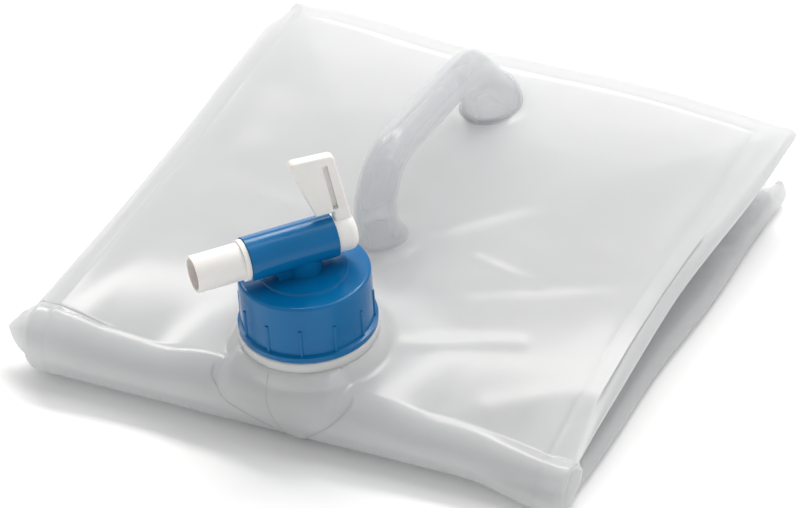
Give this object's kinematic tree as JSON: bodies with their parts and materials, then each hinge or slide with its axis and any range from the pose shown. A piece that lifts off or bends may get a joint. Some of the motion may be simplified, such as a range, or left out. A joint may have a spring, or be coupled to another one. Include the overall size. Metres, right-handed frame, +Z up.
{
  "type": "folding water carrier",
  "caption": "Square film water carrier folded flat, with a carrying handle, a screw cap on its neck, and a quarter-turn tap with a spout and flag lever.",
  "frame": {"origin": "on the table, under the flat middle of the front panel, which the folded carrier lies on", "axes": "+Z up from the table, +Y from the folded spine and tap towards the rear fold, +X to the right seen from the tap side"},
  "size_m": [0.258, 0.2794, 0.1288],
  "materials": {
    "film": "milky translucent low-density polyethylene, glossy, softly wrinkled",
    "blue_plastic": "opaque moulded blue, glossy with fine mould marks",
    "white_plastic": "opaque moulded warm white, satin",
    "gasket_rubber": "matte"
  },
  "bodies": {
    "lower_leaf": {"front_panel": "film", "bottom_panel": "film", "rear_fold_lower": "film", "spine_lower": "film", "inner_spine_lower": "film", "gusset_left_lower": "film", "gusset_right_lower": "film", "inner_gusset_left_lower": "film", "inner_gusset_right_lower": "film"},
    "upper_leaf": {"top_panel": "film", "back_panel": "film", "rear_fold_upper": "film", "spine_upper": "film", "inner_spine_upper": "film", "gusset_left_upper": "film", "gusset_right_upper": "film", "inner_gusset_left_upper": "film", "inner_gusset_right_upper": "film", "neck": "film", "carry_handle": "film"},
    "gasket": {"cap_gasket": "gasket_rubber"},
    "tap_cap": {"tap_cap": "blue_plastic"},
    "valve": {"valve_plug": "white_plastic", "valve_o_rings": "gasket_rubber"}
  },
  "joints": [
    {"name": "leaf_fold", "type": "hinge", "parent": "lower_leaf", "child": "upper_leaf", "pos_m": [0, -0.124, 0.016], "axis": [1, 0, 0], "range_deg": [0, 60]},
    {"name": "cap_lift", "type": "slide", "parent": "upper_leaf", "child": "gasket", "axis": [0, -0.0698, 0.9976], "range_m": [0, 0.0241]},
    {"name": "cap_turn", "type": "hinge", "parent": "gasket", "child": "tap_cap", "pos_m": [-0.0045, -0.10365, 0.01742], "axis": [0, -0.0698, 0.9976], "range_deg": [0, 1440]},
    {"name": "tap_turn", "type": "hinge", "parent": "tap_cap", "child": "valve", "pos_m": [-0.0045, -0.10846, 0.08625], "axis": [0.6743, 0.7367, 0.0515], "range_deg": [0, 90]}
  ],
  "couplings": [
    {"joint": "cap_lift", "follows": "cap_turn", "m_per_rad": 0.00095493}
  ]
}
